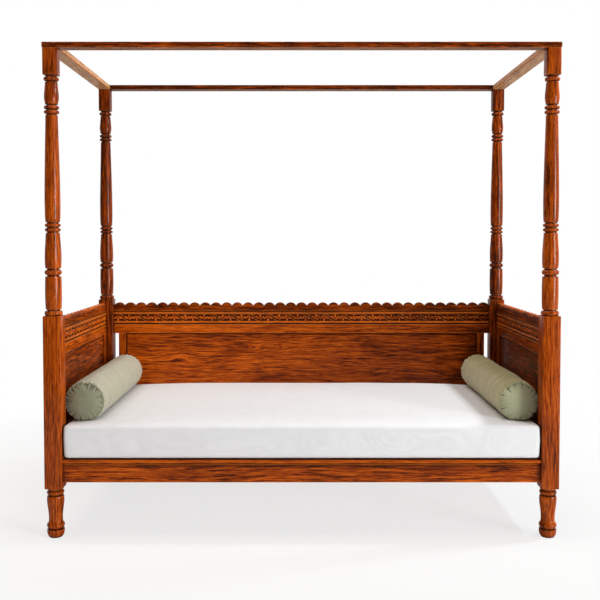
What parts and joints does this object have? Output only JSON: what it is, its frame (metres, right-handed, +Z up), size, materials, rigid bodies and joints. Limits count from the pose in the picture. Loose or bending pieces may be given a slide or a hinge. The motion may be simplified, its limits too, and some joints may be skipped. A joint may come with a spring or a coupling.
{
  "type": "canopy daybed",
  "caption": "Low wooden four-poster daybed with turned posts, a panelled back and sides with a scalloped crest, a flat canopy frame, a mattress and round bolsters.",
  "frame": {"origin": "on the floor, under the middle of the bed", "axes": "+Z up, the open front faces -Y, +X to the right seen from the front"},
  "size_m": [2.05, 1, 1.968],
  "materials": {
    "polished_wood": "reddish brown polished hardwood with a strong figured grain",
    "plain_wood": "planed, unpolished hardwood",
    "white_cotton": "plain off-white cotton cover",
    "green_cotton": "plain sage green cotton with gathered ends"
  },
  "bodies": {
    "frame": {"front_left_leg": "polished_wood", "front_right_leg": "polished_wood", "back_right_leg": "polished_wood", "back_left_leg": "polished_wood", "front_left_upper_post": "polished_wood", "front_right_upper_post": "polished_wood", "back_right_upper_post": "polished_wood", "back_left_upper_post": "polished_wood", "canopy_front_rail": "polished_wood", "canopy_right_rail": "polished_wood", "canopy_back_rail": "polished_wood", "canopy_left_rail": "polished_wood", "canopy_keys": "plain_wood", "front_rail": "polished_wood", "front_rail_lip": "polished_wood", "back_rail": "polished_wood", "left_side_rail": "polished_wood", "right_side_rail": "polished_wood", "front_ledger": "plain_wood", "back_ledger": "plain_wood", "slats": "plain_wood", "corner_blocks": "plain_wood", "back_crest": "polished_wood", "back_upper_fillet": "polished_wood", "back_carved_rail": "polished_wood", "back_lower_fillet": "polished_wood", "back_plain_rail": "polished_wood", "back_left_stile": "polished_wood", "back_right_stile": "polished_wood", "back_panel": "polished_wood", "back_bottom_rail": "polished_wood", "left_side_crest": "polished_wood", "left_side_upper_fillet": "polished_wood", "left_side_carved_rail": "polished_wood", "left_side_lower_fillet": "polished_wood", "left_side_plain_rail": "polished_wood", "left_side_front_stile": "polished_wood", "left_side_back_stile": "polished_wood", "left_side_panel": "polished_wood", "left_side_bottom_rail": "polished_wood", "right_side_crest": "polished_wood", "right_side_upper_fillet": "polished_wood", "right_side_carved_rail": "polished_wood", "right_side_lower_fillet": "polished_wood", "right_side_plain_rail": "polished_wood", "right_side_front_stile": "polished_wood", "right_side_back_stile": "polished_wood", "right_side_panel": "polished_wood", "right_side_bottom_rail": "polished_wood"},
    "mattress": {"mattress": "white_cotton"},
    "left_bolster": {"left_bolster": "green_cotton"},
    "right_bolster": {"right_bolster": "green_cotton"}
  },
  "joints": [
    {"name": "mattress_lift", "type": "slide", "parent": "frame", "child": "mattress", "axis": [0, 0, 1], "range_m": [0, 0.5]},
    {"name": "left_bolster_lift", "type": "slide", "parent": "mattress", "child": "left_bolster", "axis": [0, 0, 1], "range_m": [0, 0.3]},
    {"name": "right_bolster_lift", "type": "slide", "parent": "mattress", "child": "right_bolster", "axis": [0, 0, 1], "range_m": [0, 0.3]}
  ]
}
